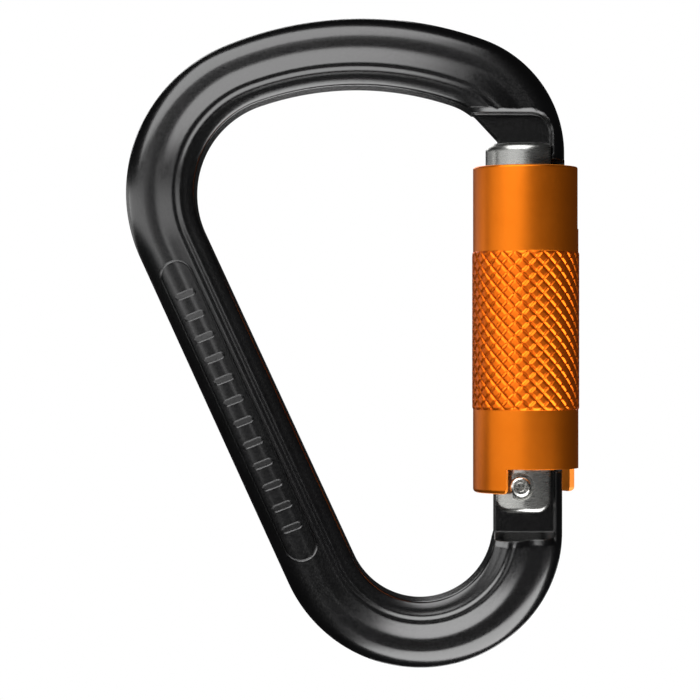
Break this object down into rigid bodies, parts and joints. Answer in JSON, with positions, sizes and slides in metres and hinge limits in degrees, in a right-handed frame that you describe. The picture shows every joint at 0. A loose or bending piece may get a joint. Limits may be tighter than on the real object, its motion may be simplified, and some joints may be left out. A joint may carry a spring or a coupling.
{
  "type": "locking carabiner",
  "caption": "Pear-shaped locking carabiner with a swinging gate, a spring-loaded plunger and a knurled turning sleeve that covers the nose.",
  "frame": {"origin": "middle of the object's bounding box, upright, with the gate closed", "axes": "+Z towards the wide bow, along the length; +X towards the gate and its sleeve; +Y towards the back face"},
  "size_m": [0.0796, 0.0188, 0.114],
  "materials": {
    "frame_black": "hot-forged aluminium alloy, satin black anodised",
    "gate_silver": "machined aluminium alloy, clear anodised",
    "sleeve_orange": "turned and knurled aluminium alloy, orange anodised",
    "rivet_steel": "stainless steel, formed head",
    "spring_steel": "bright spring wire",
    "bush_nylon": "moulded black nylon"
  },
  "bodies": {
    "frame": {"frame": "frame_black"},
    "gate": {"gate_barrel": "gate_silver", "hinge_rivet": "rivet_steel", "latch_pin": "rivet_steel", "gate_spring": "spring_steel", "upper_ring": "spring_steel", "lower_ring": "spring_steel", "twist_spring": "spring_steel"},
    "plunger": {"gate_plunger": "rivet_steel"},
    "sleeve": {"locking_sleeve": "sleeve_orange", "upper_bush": "bush_nylon", "lower_bush": "bush_nylon"}
  },
  "joints": [
    {"name": "gate_swing", "type": "hinge", "parent": "frame", "child": "gate", "pos_m": [0.029, 0, -0.0249], "axis": [0, -1, 0], "range_deg": [0, 38], "stiffness_Nm_per_rad": 0.5, "springref_deg": -34.38},
    {"name": "plunger_slide", "type": "slide", "parent": "gate", "child": "plunger", "axis": [0, 0, 1], "range_m": [0, 0.00173], "deforming": ["gate_spring"]},
    {"name": "sleeve_twist", "type": "hinge", "parent": "gate", "child": "sleeve", "pos_m": [0.0304, 0, 0], "axis": [0, 0, -1], "range_deg": [0, 100], "deforming": ["twist_spring"]}
  ],
  "couplings": [
    {"joint": "plunger_slide", "follows": "gate_swing", "m_per_rad": 0.00261}
  ]
}
